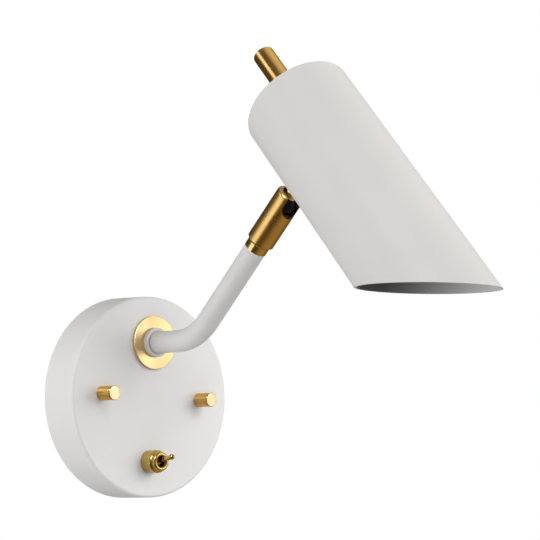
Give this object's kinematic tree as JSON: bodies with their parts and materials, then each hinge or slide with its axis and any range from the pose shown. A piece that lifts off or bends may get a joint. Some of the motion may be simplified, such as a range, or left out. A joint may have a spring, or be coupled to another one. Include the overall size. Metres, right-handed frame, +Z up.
{
  "type": "wall reading lamp",
  "caption": "Wall reading lamp with a round cup backplate, toggle switch, bent arm, brass swivel knuckle and a tube shade cut off on a slant.",
  "frame": {"origin": "middle of the backplate's wall side, midway between the two wall screws, on the wall plane", "axes": "+Y into the wall, -Y out into the room along the arm's level run, +Z up, +X to the right seen from the room"},
  "size_m": [0.1208, 0.292, 0.2599],
  "materials": {
    "white_coat_steel": "matte",
    "white_coat_aluminium": "matte",
    "satin_brass": "satin",
    "polished_brass": "polished",
    "zinc_steel": "satin",
    "black_steel": "satin",
    "tinned_copper": "satin",
    "terminal_brass": "satin",
    "black_rubber": "matte",
    "natural_plastic": "satin",
    "black_plastic": "satin",
    "bearing_plastic": "satin",
    "holder_ceramic": "matte",
    "lamp_body": "satin",
    "lamp_lens_glass": "satin",
    "cable_sleeve": "satin",
    "blue_core": "satin",
    "brown_core": "satin",
    "earth_core": "satin",
    "silicone_core": "satin"
  },
  "bodies": {
    "wall_base": {"mounting_bracket": "zinc_steel", "cable_grommet": "black_rubber", "mounting_studs": "zinc_steel", "stud_nuts": "zinc_steel", "backplate": "white_coat_steel", "thumb_nut_left": "satin_brass", "thumb_nut_right": "satin_brass", "earth_lug": "tinned_copper", "earth_screw": "terminal_brass", "terminal_block": "natural_plastic", "terminal_screws": "zinc_steel", "terminal_fixing_screw": "zinc_steel", "switch_body": "black_plastic", "switch_terminals": "terminal_brass", "switch_nut": "zinc_steel", "switch_washer": "zinc_steel", "switch_bezel": "polished_brass", "rosette": "satin_brass", "arm_collar": "white_coat_steel", "arm_nipple": "zinc_steel", "arm_washer": "zinc_steel", "arm_nut": "zinc_steel", "arm_tube": "white_coat_steel", "neck_collar": "satin_brass", "neck_washer": "bearing_plastic", "swivel_nut": "zinc_steel", "arm_flex": "cable_sleeve", "neutral_lead": "blue_core", "switched_lead": "brown_core", "feed_lead": "brown_core", "earth_lead": "earth_core"},
    "toggle": {"switch_lever": "satin_brass"},
    "knuckle": {"knuckle_body": "satin_brass", "ball_seat": "bearing_plastic", "disc_springs": "zinc_steel"},
    "head": {"pivot_ball": "black_steel", "stem_collar": "satin_brass", "saddle_washer": "zinc_steel", "stem_nut": "zinc_steel", "shade": "white_coat_aluminium", "rod_handle": "satin_brass", "rod_washer": "zinc_steel", "rod_screw": "zinc_steel", "holder_bracket": "zinc_steel", "lamp_holder": "holder_ceramic", "holder_screws": "zinc_steel", "reflector_lamp": "lamp_body", "lamp_lens": "lamp_lens_glass", "lamp_leads": "silicone_core"}
  },
  "joints": [
    {"name": "knuckle_swivel", "type": "hinge", "parent": "wall_base", "child": "knuckle", "pos_m": [0, -0.13734, 0.10677], "axis": [0, -0.7009, 0.7133], "range_deg": [-110, 110]},
    {"name": "head_tilt", "type": "hinge", "parent": "knuckle", "child": "head", "pos_m": [0, -0.13734, 0.10677], "axis": [1, 0, 0], "range_deg": [-3, 82]},
    {"name": "lever_flip", "type": "hinge", "parent": "wall_base", "child": "toggle", "pos_m": [0, -0.0326, -0.0387], "axis": [1, 0, 0], "range_deg": [0, 24]}
  ]
}
